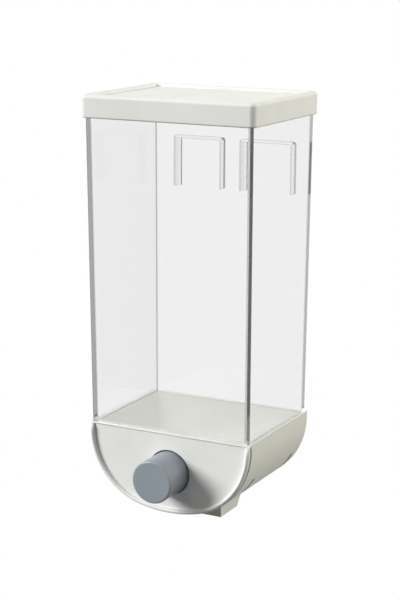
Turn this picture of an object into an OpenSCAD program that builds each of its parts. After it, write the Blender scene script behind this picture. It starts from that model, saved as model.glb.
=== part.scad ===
// Gravity bulk food bin: a clear tapered bin hung on a wall, over a base with a push-knob gate.
// Millimetres, +Z up, the knob faces -Y. The origin lies in the wall plane, midway between the
// two hanging sockets, at the height where their top bars bear on the wall hooks.
// The modules work from the bin's own centre: z = 0 is the line where the bin meets its base.

/* [Lid] */
// Outside width of the lid
lid_w = 100; // [92:1:116]
// Outside depth of the lid
lid_d = 78; // [76:1:96]
// Height of the lid
lid_h = 12.2; // [10:0.1:18]
// Thickness of the lid's top panel
lid_panel = 2.3; // [1.6:0.1:3.5]
// Width of the raised rim round the lid's top
lid_rim_w = 4.5; // [3:0.1:8]
// Depth of the recess inside the raised rim
lid_recess = 1.6; // [0.8:0.1:2.6]
// How far the lid's skirt stands out past the bin, each side
lid_overhang = 1.85; // [1.7:0.05:3]
// Radius of the lid's outside corners
lid_corner_r = 3; // [2:0.5:6]
// Thickness of the plug wall that drops inside the bin
plug_wall = 1.5; // [1.2:0.1:2.5]
// How far the plug wall drops below the bin's top edge
plug_drop = 5.5; // [4:0.5:9]

/* [Bin] */
// Height of the clear bin that shows between the base and the lid
bin_h = 163.2; // [120:1:260]
// Wall of the clear bin
bin_wall = 2.4; // [2.1:0.1:3]
// How much narrower each side is at the bottom, left and right
taper_x = 1.25; // [0.5:0.05:2]
// How much narrower each side is at the bottom, front and back
taper_y = 1.75; // [0.5:0.05:2.5]
// Radius of the bin's upright corners
bin_corner_r = 1.6; // [1:0.1:3]
// How far the bin's foot flange stands out
foot_out = 0.8; // [0.4:0.1:1.4]
// Height of the bin's foot flange
foot_h = 2; // [1.2:0.1:4]

/* [Hanging sockets] */
// Width of one socket
socket_w = 30; // [20:0.5:34]
// Height of one socket
socket_h = 28.2; // [18:0.5:45]
// Gap between the two sockets
socket_gap = 10.6; // [6:0.2:20]
// How far the top of the sockets lies below the lid
socket_drop = 15.8; // [8:0.2:40]
// Depth of a socket from the bin's back to the wall
socket_depth = 4; // [3.4:0.1:7]
// Wall of a socket's legs and top bar
socket_wall = 1.4; // [1:0.1:2]
// Width of the lip that holds the wall hook, with the leg
lip_w = 3; // [2.2:0.1:5]
// Thickness of the lip
lip_t = 1.2; // [0.8:0.1:1.8]

/* [Base] */
// Height of the base at its middle
base_h = 44; // [42:0.5:60]
// Straight height of the base's sides, above its curve
base_side = 3.5; // [2:0.5:8]
// How much larger the radius under the base is than half its width
base_belly = 27.3; // [22:0.1:40]
// Wall of the base shell
shell_wall = 2; // [1.6:0.1:2.2]
// How far the front cover stands out in front of the bin
cover_step = 1.8; // [1:0.1:4]
// Width of the cover's raised rim
cover_rim_w = 2.4; // [1.6:0.1:5]
// Depth of the cover's recessed face
cover_recess = 2.2; // [1:0.1:2.8]
// Thickness of the cover's panel
cover_panel = 2; // [1.4:0.1:2.4]
// Width of the shadow gap between cover and shell
shadow_gap = 1.3; // [0.5:0.1:1.5]
// Width of a retaining slit in the shell's side
slit_w = 1; // [0.8:0.1:1.6]

/* [Knob] */
// Diameter of the push knob
knob_d = 23; // [18:0.5:24]
// How far the knob stands out of the recessed face
knob_out = 18.9; // [15:0.1:26]
// How far the knob's axis lies below the top of the base
knob_drop = 21.8; // [21:0.1:23]
// Travel of the knob
knob_travel = 12; // [9:0.5:12]
// Diameter of the push stem
stem_d = 6; // [4:0.5:8]

/* [Outlet] */
// Width of the outlet spout
spout_w = 51.4; // [40:0.2:52]
// Length of the outlet spout, front to back
spout_l = 19.5; // [17:0.1:21]
// How far the outlet spout hangs below the base
spout_drop = 1.8; // [0.5:0.1:12]
// Wall of the outlet spout
spout_wall = 2; // [1.4:0.1:2.4]

/* [Funnel and gate] */
// Wall of the funnel
funnel_wall = 2; // [1.6:0.1:2.6]
// Depth of the funnel's throat below the top of the base
throat_drop = 13.6; // [12:0.1:14]
// Thickness of the gate's plate
gate_plate = 3; // [2:0.1:4]
// Height of the gate, with its side rails
gate_h = 11.9; // [11:0.1:12.5]
// Width of the gate's side rails
gate_rail = 2.5; // [2:0.1:4]
// Gap between the tray and the shell's back wall
tray_gap = 5; // [3:0.5:8]
// Thickness of the throat seal
seal_t = 1.2; // [0.8:0.1:1.4]

/* [Springs and screws] */
// Wire of a return spring
wire_d = 0.8; // [0.5:0.1:1]
// Mean diameter of a return spring
spring_d = 5.6; // [4.6:0.1:6.4]
// Curls of a return spring
spring_curls = 9; // [6:1:11]
// Distance of a return spring's axis from the gate's side
spring_in = 10.5; // [8:0.5:14]
// Diameter of a spring pin
pin_d = 3; // [2:0.1:3.4]
// Thread diameter of the screws
screw_d = 2.5; // [2:0.1:3]

/* [Hidden] */
$fn = 64;

// Clearances
fit_gap = 0.15;      // between fixed pieces that plug together
slide_gap = 0.3;     // between pieces that move past each other
gate_overrun = 2.2;  // behind the gate when it is open
stem_gap = 0.07;     // round the stem in its guide
knob_gap = 0.6;      // round the knob in the cover
soft_gap = 0.2;      // between the lid's seal and the bin
near_gap = 0.05;     // between fixed pieces that lie against each other
sink = 0.1;          // how far one form of a piece runs into the next one
eps = 0.01;
past = 1;            // how far a cut runs past the face that it opens

// Bin: half width and half depth at a height above the base
function half_w(z) = lid_w/2 - lid_overhang - taper_x*(1 - z/bin_h);
function half_d(z) = lid_d/2 - lid_overhang - taper_y*(1 - z/bin_h);
rim_in_lid = lid_h - lid_recess - lid_panel - slide_gap;
bin_top = bin_h + rim_in_lid;
in_w = half_w(0) - bin_wall;
in_d = half_d(0) - bin_wall;

// Hanging sockets and the origin
socket_top = bin_h - socket_drop;
socket_x = socket_gap/2;
wall_y = half_d(bin_h) + socket_depth;
hang_z = socket_top - socket_wall;

// Base outline: upright sides, two side arcs and one flatter arc underneath, all tangent
base_hw = half_w(0) + foot_out;
base_back = half_d(0) + foot_out;
belly_r = base_hw + base_belly;
curve_h = base_h - base_side;
side_r = (belly_r^2 - base_hw^2 - (curve_h - belly_r)^2)/(2*(belly_r - base_hw));
side_c = [base_hw - side_r, -base_side];
belly_c = [0, belly_r - base_h];
tangent_a = atan2(side_c.y - belly_c.y, side_c.x - belly_c.x);
arc_steps = 14;

// Front cover, front to back
cover_front = -half_d(0) - cover_step;
cover_face = cover_front + cover_recess;
cover_back = cover_face + cover_panel;
cover_plug = 0.6;
shell_front = cover_back - cover_plug;
rim_back = shell_front - shadow_gap;
plug_in = shell_wall + fit_gap;
cover_lip_t = 1.5;
cover_lip_l = 4.4;
lip_clear = 1.4;

// Tongue of the bin, the ledge in the shell and the funnel's rim that stands on it
tongue_out_w = base_hw - shell_wall - fit_gap;
tongue_out_d = base_back - shell_wall - fit_gap;
tongue_h = 4.8;
tongue_front = cover_back + 2;
ledge_z = -5;
ledge_t = 1.6;
ledge_w = 3.7;
ledge_in_w = base_hw - shell_wall - ledge_w;
ledge_in_d = base_back - shell_wall - ledge_w;
ledge_front = cover_back + cover_lip_l + 0.4;
barb_out = 0.6;
barb_h = 1.2;
barb_l = 10;
barb_z = -4.6;
barb_y = 15;
rim_hw = in_w - fit_gap;
rim_hd = in_d - fit_gap;
funnel_top = -0.2;
mouth_edge = 1.5;

// Knob, front to back
knob_r = knob_d/2;
knob_front = cover_face - knob_out;
knob_skirt = 0.4;
knob_back = cover_back + knob_skirt;
knob_wall = 2;
knob_face_t = 2.5;
knob_soft_r = 1;
knob_boss_r = 5.5;
knob_boss_in = 2.4;
stem_r = stem_d/2;
stem_seat = 4.2;
stem_end_gap = 0.1;

// Gate and tray
tray_front = knob_back + knob_travel + slide_gap;
tray_wall = 2;
gate_front = tray_front + tray_wall + slide_gap;
throat_land = 1.5;
throat_front = gate_front + throat_land;
throat_back = gate_front + knob_travel - throat_land;
plate_top = -throat_drop;
plate_bottom = plate_top - funnel_wall;
seal_out = 0.4;
gate_top = plate_bottom - seal_out - slide_gap;
gate_bottom = gate_top - gate_h;
floor_top = gate_bottom - slide_gap;
floor_bottom = floor_top - tray_wall;
spout_hw = spout_w/2;
inlet_hw = spout_hw - spout_wall;
throat_in = 0.7;
throat_hw = inlet_hw - throat_in;
gate_land = 0.8;
gate_hw = spout_hw + gate_land;
tray_in_w = gate_hw + slide_gap;
tray_out_w = tray_in_w + tray_wall;
tray_back = base_back - shell_wall - tray_gap;
gate_back = tray_back - tray_wall - gate_overrun - knob_travel;
foot_out_w = 2.7;
foot_hw = tray_out_w + foot_out_w;
plate_in = 0.7;
plate_back = tray_back - plate_in;
chute_step = 0.25;
inlet_front = throat_front - chute_step;
inlet_back = throat_back + chute_step;
boss_hw = 7;
boss_l = 6;
boss_up = 1;
boss_wall = 1;
stem_end = gate_front + boss_l - boss_wall;
seal_out_w = 1.8;
seal_front_w = 1.05;
cross_pin_r = 1;
cross_pin_y = gate_front + boss_l/2;
cross_hole_l = gate_h - gate_plate - boss_up;

// Funnel's hood over the knob's travel
hood_in_r = knob_r + knob_gap;
hood_out_r = hood_in_r + funnel_wall;
hood_back = tray_front + 1.5;

// Retaining ribs of the tray, which end in the slits of the shell
slit_front_y = tray_front + tray_wall/2;
slit_back_y = tray_back - tray_wall/2;
slit_top = -23.5;
slit_bottom = -33;
rib_t = slit_w - 0.3;
rib_step = 0.9;
rib_gap = 0.4;

// Spout
spout_back = inlet_back + chute_step + spout_wall;
spout_front = spout_back - spout_l;
spout_bottom = -base_h - spout_drop;
spout_flange_t = 1.5;
roof_gap = 0.7;
spout_roof = -knob_drop - knob_r - roof_gap;
spout_neck_front = tray_front;
spout_screw_in = 5.7;
spout_screw_edge = 3;
spout_screw_x = spout_hw - spout_screw_in;
spout_screw_y = spout_back + spout_screw_edge;
spout_flange_back = spout_screw_y + spout_screw_edge;

// Springs
spring_after_throat = 6.5;
spring_wall = 2;
spring_front = throat_back + spring_after_throat;
spring_play = 0.4;
spring_bore_r = spring_d/2 + wire_d/2 + spring_play;
spring_x = gate_hw - spring_in;
spring_z = (gate_top + gate_bottom)/2;
wire_r = wire_d/2;
spring_start = spring_front + wire_r + slide_gap;
spring_end = tray_back - tray_wall - wire_r - near_gap;
rings_per_curl = 8;
spring_rings = spring_curls*rings_per_curl;
pin_tip_gap = 0.5;
pin_tip = gate_back + pin_tip_gap;

// Screws
screw_r = screw_d/2;
screw_slack = 0.05;
head_out = 1.15;
head_r = screw_r + head_out;
head_h = 1.4;
slot_t = 0.7;
slot_deep = 0.7;
screw_play = 0.2;
screw_hole_r = screw_r + screw_play;
screw_side = 2.4;
screw_in = [1.5, 8];
tray_screw_x = tray_out_w + screw_side;
tray_screw_y = [throat_front - screw_in[0], tray_back - screw_in[1]];
tray_screw_l = 6;
base_screw_up = 2.1;
base_screw_z = plate_top + base_screw_up;
base_screw_l = 8;
screw_end_gap = 0.4;
screw_boss_wall = 1.6;
screw_boss_r = screw_r + screw_boss_wall;
tray_ear_w = tray_screw_x + screw_boss_r;
tray_boss_h = tray_screw_l - tray_wall + screw_end_gap + 0.8;
base_boss_l = 11.7;
web_t = 1.6;

spring_least_gap = (spring_end - spring_start)/(spring_curls - 1) - wire_d;
echo(spring_least_gap = spring_least_gap);

module from_wall() {
    translate([0, -wall_y, -hang_z]) children();
}

module block(x0, x1, y0, y1, z0, z1) {
    translate([x0, y0, z0]) cube([x1 - x0, y1 - y0, z1 - z0]);
}

// A block centred on x = 0
module wide_block(hw, y0, y1, z0, z1) {
    block(-hw, hw, y0, y1, z0, z1);
}

module both_sides() {
    children();
    mirror([1, 0, 0]) children();
}

module along_y(x, y0, y1, z, r) {
    translate([x, y1, z]) rotate([90, 0, 0]) cylinder(r = r, h = y1 - y0);
}

// Points of the base outline, set in by a wall, with its flat top at a given height
function base_outline(inset, top) = concat(
    [[base_hw - inset, top]],
    [for (i = [0 : arc_steps])
        side_c + (side_r - inset)*[cos(tangent_a*i/arc_steps), sin(tangent_a*i/arc_steps)]],
    [for (i = [1 : arc_steps - 1])
        let (a = tangent_a + (-180 - 2*tangent_a)*i/arc_steps)
        belly_c + (belly_r - inset)*[cos(a), sin(a)]],
    [for (i = [arc_steps : -1 : 0])
        [-side_c.x, side_c.y]
            + (side_r - inset)*[-cos(tangent_a*i/arc_steps), sin(tangent_a*i/arc_steps)]],
    [[inset - base_hw, top]]
);

module base_prism(inset, y0, y1, top = 0) {
    translate([0, y1, 0]) rotate([90, 0, 0])
        linear_extrude(height = y1 - y0) polygon(base_outline(inset, top));
}

// The bin's tapered form, set in by a wall, between two heights
module bin_form(inset, r, z0, z1) {
    hull()
        for (sx = [-1, 1], sy = [-1, 1], z = [z0, z1 - eps])
            translate([sx*(half_w(z) - inset - r), sy*(half_d(z) - inset - r), z])
                cylinder(r = r, h = eps, $fn = 32);
}

// A slab with round corners
module round_slab(hw, hd, r, z0, z1) {
    hull()
        for (sx = [-1, 1], sy = [-1, 1])
            translate([sx*(hw - r), sy*(hd - r), z0])
                cylinder(r = r, h = z1 - z0, $fn = 32);
}

lid_top = bin_h + lid_h;
lid_under = bin_top + slide_gap;
skirt_in = half_w(bin_top) + slide_gap;
skirt_in_d = half_d(bin_top) + slide_gap;
plug_bottom = bin_top - plug_drop;
plug_gap = 0.45;
plug_out_w = half_w(plug_bottom) - bin_wall - plug_gap;
plug_out_d = half_d(plug_bottom) - bin_wall - plug_gap;
lid_soft_r = 2;
seal_h = 2;
seal_up = 1.6;
seal_z = plug_bottom + seal_up;
seal_deep = 0.7;

module lid() {
    color("#dcdcd4") from_wall() difference() {
        union() {
            difference() {
                hull() {
                    for (sx = [-1, 1], sy = [-1, 1])
                        translate([
                            sx*(lid_w/2 - lid_corner_r),
                            sy*(lid_d/2 - lid_corner_r),
                            bin_h
                        ]) {
                            cylinder(r = lid_corner_r, h = lid_h - lid_soft_r, $fn = 32);
                            cylinder(r = lid_corner_r - 0.6*lid_soft_r, h = lid_h, $fn = 32);
                        }
                }
                round_slab(skirt_in, skirt_in_d, bin_corner_r, bin_h - past, lid_under);
            }
            round_slab(plug_out_w, plug_out_d, bin_corner_r, plug_bottom, lid_under + eps);
        }
        round_slab(
            plug_out_w - plug_wall, plug_out_d - plug_wall, bin_corner_r,
            plug_bottom - past, lid_under
        );
        round_slab(
            lid_w/2 - lid_rim_w, lid_d/2 - lid_rim_w, bin_corner_r,
            lid_top - lid_recess, lid_top + past
        );
        difference() {
            wide_block(lid_w, -lid_d, lid_d, seal_z, seal_z + seal_h);
            round_slab(
                plug_out_w - seal_deep, plug_out_d - seal_deep, bin_corner_r,
                seal_z - past, seal_z + seal_h + past
            );
            difference() {
                wide_block(lid_w, -lid_d, lid_d, seal_z - past, seal_z + seal_h + past);
                round_slab(
                    plug_out_w + eps, plug_out_d + eps, bin_corner_r,
                    seal_z - 2*past, seal_z + seal_h + 2*past
                );
            }
        }
    }
}

module lid_seal() {
    color("#e8e8e4") from_wall() difference() {
        round_slab(
            half_w(seal_z) - bin_wall - soft_gap, half_d(seal_z) - bin_wall - soft_gap,
            bin_corner_r, seal_z + near_gap, seal_z + seal_h - near_gap
        );
        round_slab(
            plug_out_w - seal_deep, plug_out_d - seal_deep, bin_corner_r,
            seal_z - past, seal_z + seal_h + past
        );
    }
}

module hanging_socket() {
    inner = half_d(0) - bin_wall/2;
    difference() {
        block(
            socket_x, socket_x + socket_w, inner, wall_y,
            socket_top - socket_h, socket_top
        );
        block(
            socket_x + socket_wall, socket_x + socket_w - socket_wall,
            inner - past, wall_y - lip_t,
            socket_top - socket_h - past, hang_z
        );
        block(
            socket_x + lip_w, socket_x + socket_w - lip_w,
            inner - past, wall_y + past,
            socket_top - socket_h - past, hang_z
        );
    }
}

module bin_tongue() {
    both_sides()
        block(
            in_w + near_gap, tongue_out_w,
            tongue_front, tongue_out_d, -tongue_h, foot_h/2
        );
    wide_block(tongue_out_w, in_d + near_gap, tongue_out_d, -tongue_h, foot_h/2);
}

module barbs(grow) {
    both_sides()
        for (sy = [-1, 1])
            block(
                tongue_out_w - sink, tongue_out_w + barb_out + grow,
                sy*barb_y - barb_l/2 - grow, sy*barb_y + barb_l/2 + grow,
                barb_z - grow, barb_z + barb_h + grow
            );
}

module bin_box() {
    color("#dfe4e4", 0.35) from_wall() {
        difference() {
            union() {
                bin_form(0, bin_corner_r, 0, bin_top);
                wide_block(base_hw, -half_d(0) - foot_out, base_back, 0, foot_h);
                both_sides() hanging_socket();
            }
            bin_form(bin_wall, bin_corner_r/2, -past, bin_top + past);
        }
        bin_tongue();
        barbs(0);
    }
}

module shell_slits() {
    both_sides()
        for (y = [slit_front_y, slit_back_y])
            block(base_hw/2, base_hw, y - slit_w/2, y + slit_w/2, slit_bottom, slit_top);
}

module shell_ledge() {
    both_sides()
        block(
            ledge_in_w, base_hw - shell_wall + sink, ledge_front,
            base_back - shell_wall + sink, ledge_z - ledge_t, ledge_z
        );
    wide_block(
        ledge_in_w + sink, ledge_in_d, base_back - shell_wall + sink,
        ledge_z - ledge_t, ledge_z
    );
}

module base_shell() {
    color("#c9cac0") from_wall() difference() {
        union() {
            difference() {
                base_prism(0, shell_front, base_back);
                base_prism(shell_wall, shell_front - past, base_back - shell_wall, past);
            }
            shell_ledge();
        }
        shell_slits();
        wide_block(
            spout_hw + fit_gap, spout_front - fit_gap, spout_back + fit_gap,
            -base_h - past, floor_bottom - spout_flange_t
        );
        barbs(fit_gap);
        both_sides()
            along_y(
                tray_screw_x, base_back - shell_wall - past, base_back + past,
                base_screw_z, screw_hole_r
            );
    }
}

module front_cover() {
    color("#d6d6cf") from_wall() difference() {
        union() {
            base_prism(0, cover_front, rim_back);
            base_prism(plug_in, rim_back - eps, cover_back, -near_gap);
            difference() {
                base_prism(
                    plug_in, cover_back - eps, cover_back + cover_lip_l, -near_gap
                );
                base_prism(
                    plug_in + cover_lip_t, cover_back, cover_back + cover_lip_l + past, past
                );
                wide_block(
                    base_hw, cover_back, cover_back + cover_lip_l + past,
                    ledge_z - ledge_t - lip_clear, past
                );
            }
        }
        base_prism(cover_rim_w, cover_front - past, cover_face, -cover_rim_w);
        along_y(0, cover_front - past, cover_back + past, -knob_drop, knob_r + knob_gap);
    }
}

// The funnel's inner space: from the bin's mouth down to the throat
module funnel_space() {
    hull() {
        wide_block(
            rim_hw - mouth_edge, -rim_hd + mouth_edge, rim_hd - mouth_edge,
            0, funnel_top + past
        );
        wide_block(throat_hw, throat_front, throat_back, plate_top, plate_top + eps);
    }
}

module funnel_outside() {
    hull() {
        wide_block(
            ledge_in_w - soft_gap, -ledge_in_d + soft_gap, ledge_in_d - soft_gap,
            ledge_z, ledge_z + eps
        );
        wide_block(
            throat_hw + funnel_wall, throat_front - funnel_wall, throat_back + funnel_wall,
            plate_bottom, plate_bottom + eps
        );
    }
}

module hood(r, y1) {
    intersection() {
        along_y(0, -rim_hd + eps, y1, -knob_drop, r);
        wide_block(base_hw, -rim_hd, y1, plate_bottom, funnel_top);
    }
}

module funnel() {
    color("#e4e4df") from_wall() difference() {
        union() {
            wide_block(rim_hw, -rim_hd, rim_hd, ledge_z, funnel_top);
            funnel_outside();
            hood(hood_out_r, hood_back);
            wide_block(tray_ear_w, tray_front, plate_back, plate_bottom, plate_top);
            both_sides() {
                for (y = tray_screw_y)
                    translate([tray_screw_x, y, plate_bottom])
                        cylinder(r = screw_boss_r, h = tray_boss_h);
                block(
                    throat_hw, tray_screw_x, tray_screw_y[0] - web_t/2,
                    tray_screw_y[0] + web_t/2, plate_bottom, plate_bottom + tray_boss_h
                );
                along_y(
                    tray_screw_x, base_back - shell_wall - base_boss_l,
                    base_back - shell_wall, base_screw_z, screw_boss_r
                );
            }
        }
        difference() {
            funnel_space();
            hood(hood_out_r, hood_back);
        }
        along_y(0, -rim_hd - past, tray_front, -knob_drop, hood_in_r);
        wide_block(
            throat_hw, throat_front, throat_back, plate_bottom - past, plate_top + eps
        );
        wide_block(
            throat_hw + seal_out_w + near_gap, throat_front - seal_front_w - near_gap,
            throat_back + seal_out_w + near_gap,
            plate_bottom - past, plate_bottom + seal_t - seal_out
        );
        both_sides() {
            for (y = tray_screw_y)
                translate([tray_screw_x, y, plate_bottom - past])
                    cylinder(
                        r = screw_r + screw_slack,
                        h = past + tray_screw_l - tray_wall + screw_end_gap
                    );
            along_y(
                tray_screw_x, base_back - base_screw_l - screw_end_gap, base_back,
                base_screw_z, screw_r + screw_slack
            );
        }
    }
}

module throat_seal() {
    color("#b8bcbc") from_wall() difference() {
        wide_block(
            throat_hw + seal_out_w, throat_front - seal_front_w, throat_back + seal_out_w,
            plate_bottom - seal_out, plate_bottom + seal_t - seal_out
        );
        wide_block(
            throat_hw, throat_front, throat_back,
            plate_bottom - seal_out - past, plate_bottom + seal_t + past
        );
    }
}

// One retaining rib, from the tray's wall into the shell's slit
module tray_rib(y) {
    intersection() {
        base_prism(rib_step, y - rib_t/2, y + rib_t/2);
        union() {
            block(
                tray_in_w + tray_wall/2, base_hw, y - rib_t, y + rib_t,
                floor_bottom, slit_top - rib_gap
            );
            block(
                foot_hw + rib_gap, base_hw, y - rib_t, y + rib_t,
                slit_bottom + rib_gap, slit_top - rib_gap
            );
        }
    }
}

module drawer_tray() {
    color("#d9dad6") from_wall() difference() {
        union() {
            wide_block(foot_hw, tray_front, tray_back, floor_bottom, floor_top);
            both_sides() {
                block(
                    tray_in_w, tray_out_w, tray_front, tray_back,
                    floor_bottom, plate_bottom
                );
                block(
                    tray_out_w - sink, tray_ear_w, tray_front, plate_back,
                    plate_bottom - tray_wall, plate_bottom
                );
                tray_rib(slit_front_y);
                tray_rib(slit_back_y);
            }
            wide_block(
                tray_out_w, tray_front, tray_front + tray_wall, floor_bottom, plate_bottom
            );
            wide_block(
                tray_out_w, tray_back - tray_wall, tray_back, floor_bottom, plate_bottom
            );
        }
        wide_block(
            inlet_hw, inlet_front, inlet_back, floor_bottom - past, floor_top + past
        );
        along_y(
            0, tray_front - past, tray_front + tray_wall + past, -knob_drop, stem_r + stem_gap
        );
        both_sides() {
            for (y = tray_screw_y)
                translate([tray_screw_x, y, plate_bottom - tray_wall - past])
                    cylinder(r = screw_hole_r, h = tray_wall + 2*past);
            along_y(
                spring_x, tray_back - tray_wall - past, tray_back + past,
                spring_z, pin_d/2 + screw_slack
            );
            translate([spout_screw_x, spout_screw_y, floor_bottom - past])
                cylinder(r = screw_r + screw_slack, h = tray_wall + 2*past);
        }
    }
}

module outlet_spout() {
    color("#c4c5bc") from_wall() difference() {
        union() {
            wide_block(spout_hw, spout_front, spout_back, spout_bottom, spout_roof);
            wide_block(spout_hw, spout_neck_front, spout_back, spout_roof - eps, floor_bottom);
            wide_block(
                foot_hw, spout_neck_front, spout_flange_back,
                floor_bottom - spout_flange_t, floor_bottom
            );
        }
        wide_block(
            spout_hw - spout_wall, spout_front + spout_wall, spout_back - spout_wall,
            spout_bottom - past, spout_roof - spout_flange_t
        );
        wide_block(
            spout_hw - spout_wall, spout_neck_front + spout_wall, spout_back - spout_wall,
            spout_roof - 2*spout_flange_t, floor_bottom + past
        );
        both_sides()
            translate([spout_screw_x, spout_screw_y, floor_bottom - spout_flange_t - past])
                cylinder(r = screw_hole_r, h = spout_flange_t + 2*past);
    }
}

module slide_gate() {
    color("#e0e0da") from_wall() difference() {
        union() {
            wide_block(gate_hw, gate_front, gate_back, gate_top - gate_plate, gate_top);
            both_sides()
                block(
                    gate_hw - gate_rail, gate_hw, gate_front, gate_back,
                    gate_bottom, gate_top
                );
            wide_block(
                boss_hw, gate_front, gate_front + boss_l, gate_bottom + boss_up, gate_top
            );
            wide_block(
                gate_hw, spring_front - spring_wall, gate_back, gate_bottom, gate_top
            );
        }
        both_sides()
            along_y(
                spring_x, spring_front, gate_back + past, spring_z, spring_bore_r
            );
        along_y(0, gate_front - past, stem_end, -knob_drop, stem_r + screw_slack);
        translate([0, cross_pin_y, gate_bottom + boss_up - past])
            cylinder(r = cross_pin_r + screw_slack, h = past + cross_hole_l);
    }
}

module push_stem() {
    color("#b9bcc0") from_wall() difference() {
        along_y(0, knob_front + stem_seat, stem_end - stem_end_gap, -knob_drop, stem_r);
        translate([0, cross_pin_y, -knob_drop - stem_r - past])
            cylinder(r = cross_pin_r + screw_slack, h = 2*(stem_r + past));
    }
}

module stem_pin() {
    color("#a9adb2") from_wall()
        translate([0, cross_pin_y, gate_bottom + boss_up + soft_gap])
            cylinder(r = cross_pin_r, h = cross_hole_l - 2*soft_gap);
}

// Section of the knob from its axis outwards, with a soft front edge
function knob_section() = concat(
    [[0, 0]],
    [for (i = [0 : 6])
        [knob_r - knob_soft_r + knob_soft_r*sin(15*i), knob_soft_r*(1 - cos(15*i))]],
    [
        [knob_r, knob_back - knob_front],
        [knob_r - knob_wall, knob_back - knob_front],
        [knob_r - knob_wall, knob_face_t],
        [knob_boss_r, knob_face_t],
        [knob_boss_r, knob_back - knob_front - knob_boss_in],
        [stem_r + screw_slack, knob_back - knob_front - knob_boss_in],
        [stem_r + screw_slack, stem_seat - stem_end_gap],
        [0, stem_seat - stem_end_gap]
    ]
);

module push_knob() {
    color("#8a939b") from_wall()
        translate([0, knob_front, -knob_drop]) rotate([-90, 0, 0])
            rotate_extrude($fn = 96) polygon(knob_section());
}

// Point on one ring of the helix wire
function wire_point(k, i) =
    let (
        a = 360*k/rings_per_curl,
        y = spring_start + (spring_end - spring_start)*k/spring_rings,
        out = spring_d/2 + wire_r*cos(60*i)
    )
    [out*cos(a), y + wire_r*sin(60*i), out*sin(a)];

function ring_quad(k, i) = [6*k + i, 6*k + (i + 1)%6, 6*k + 6 + (i + 1)%6, 6*k + 6 + i];

module return_spring(x) {
    color("#b4b7ba") from_wall() translate([x, 0, spring_z])
        polyhedron(
            points = [for (k = [0 : spring_rings], i = [0 : 5]) wire_point(k, i)],
            faces = concat(
                [for (i = [1 : 4]) [0, i + 1, i]],
                [for (k = [0 : spring_rings - 1], i = [0 : 5])
                    let (q = ring_quad(k, i)) [q[0], q[1], q[2]]],
                [for (k = [0 : spring_rings - 1], i = [0 : 5])
                    let (q = ring_quad(k, i)) [q[0], q[2], q[3]]],
                [for (i = [1 : 4])
                    [6*spring_rings, 6*spring_rings + i, 6*spring_rings + i + 1]]
            )
        );
}

module return_spring_left() {
    return_spring(-spring_x);
}

module return_spring_right() {
    return_spring(spring_x);
}

module spring_pins() {
    color("#a9adb2") from_wall() both_sides()
        along_y(spring_x, pin_tip, tray_back, spring_z, pin_d/2);
}

// A screw that points up, its head's seat at z = 0
module screw(l) {
    difference() {
        union() {
            cylinder(r = screw_r, h = l);
            translate([0, 0, -head_h]) cylinder(r = head_r, h = head_h);
        }
        for (a = [0, 90])
            rotate([0, 0, a])
                block(
                    -head_r*0.6, head_r*0.6, -slot_t/2, slot_t/2,
                    -head_h - past, slot_deep - head_h
                );
    }
}

module tray_screws() {
    color("#9da1a5") from_wall() both_sides()
        for (y = tray_screw_y)
            translate([tray_screw_x, y, plate_bottom - tray_wall]) screw(tray_screw_l);
}

module spout_screws() {
    color("#9da1a5") from_wall() both_sides()
        translate([spout_screw_x, spout_screw_y, floor_bottom - spout_flange_t])
            screw(spout_flange_t + tray_wall - stem_end_gap);
}

module base_screws() {
    color("#9da1a5") from_wall() both_sides()
        translate([tray_screw_x, base_back, base_screw_z]) rotate([90, 0, 0])
            screw(base_screw_l);
}

lid();
lid_seal();
bin_box();
base_shell();
front_cover();
funnel();
throat_seal();
drawer_tray();
outlet_spout();
slide_gate();
push_stem();
stem_pin();
push_knob();
return_spring_left();
return_spring_right();
spring_pins();
tray_screws();
spout_screws();
base_screws();
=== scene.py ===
# %% [markdown]
# # A clear food bin on a push-knob base
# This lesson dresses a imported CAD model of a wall-hung food bin. The CAD says where every
# piece is and how it moves. Blender adds what the CAD leaves out: soft moulded edges, clear
# plastic that bends the light, the fine grain of satin plastic, and the studio round it.

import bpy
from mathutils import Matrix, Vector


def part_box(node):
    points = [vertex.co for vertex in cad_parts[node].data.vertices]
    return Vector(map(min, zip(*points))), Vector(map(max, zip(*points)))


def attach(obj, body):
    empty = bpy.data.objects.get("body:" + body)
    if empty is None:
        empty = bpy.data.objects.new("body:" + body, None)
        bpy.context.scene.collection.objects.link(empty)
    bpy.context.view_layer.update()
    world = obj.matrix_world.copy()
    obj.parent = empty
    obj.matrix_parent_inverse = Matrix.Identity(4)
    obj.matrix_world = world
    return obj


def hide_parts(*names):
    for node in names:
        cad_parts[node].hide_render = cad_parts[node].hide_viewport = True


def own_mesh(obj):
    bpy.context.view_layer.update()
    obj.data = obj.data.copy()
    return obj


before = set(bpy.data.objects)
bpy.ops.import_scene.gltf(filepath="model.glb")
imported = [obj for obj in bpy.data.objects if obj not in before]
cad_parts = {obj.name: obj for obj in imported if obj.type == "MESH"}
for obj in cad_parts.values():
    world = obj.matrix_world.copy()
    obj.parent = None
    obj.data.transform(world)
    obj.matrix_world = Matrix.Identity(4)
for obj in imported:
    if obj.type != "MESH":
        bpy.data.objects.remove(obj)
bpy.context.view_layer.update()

# %% [markdown]
# ## Millimetres and the bin's own centre
# The real object was drawn in millimetres from the centre of the bin, at the line where the
# bin meets its base. Blender works in metres from the hanging hooks. So every mesh here is
# built in millimetres round the bin's centre, and moved to its place as its last step.

# %% Imports and the way from the bin's centre to the frame
import math

import bmesh
import bpy
from mathutils import Matrix, Vector

MM = 0.001
WALL_Y, HANG_Z = 41.15, 146.0
TO_FRAME = Matrix.Scale(MM, 4) @ Matrix.Translation((0, -WALL_Y, -HANG_Z))

lid_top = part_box("lid")[1].z
print("lid top above the base line, mm:", round(lid_top / MM + HANG_Z, 2))

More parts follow.
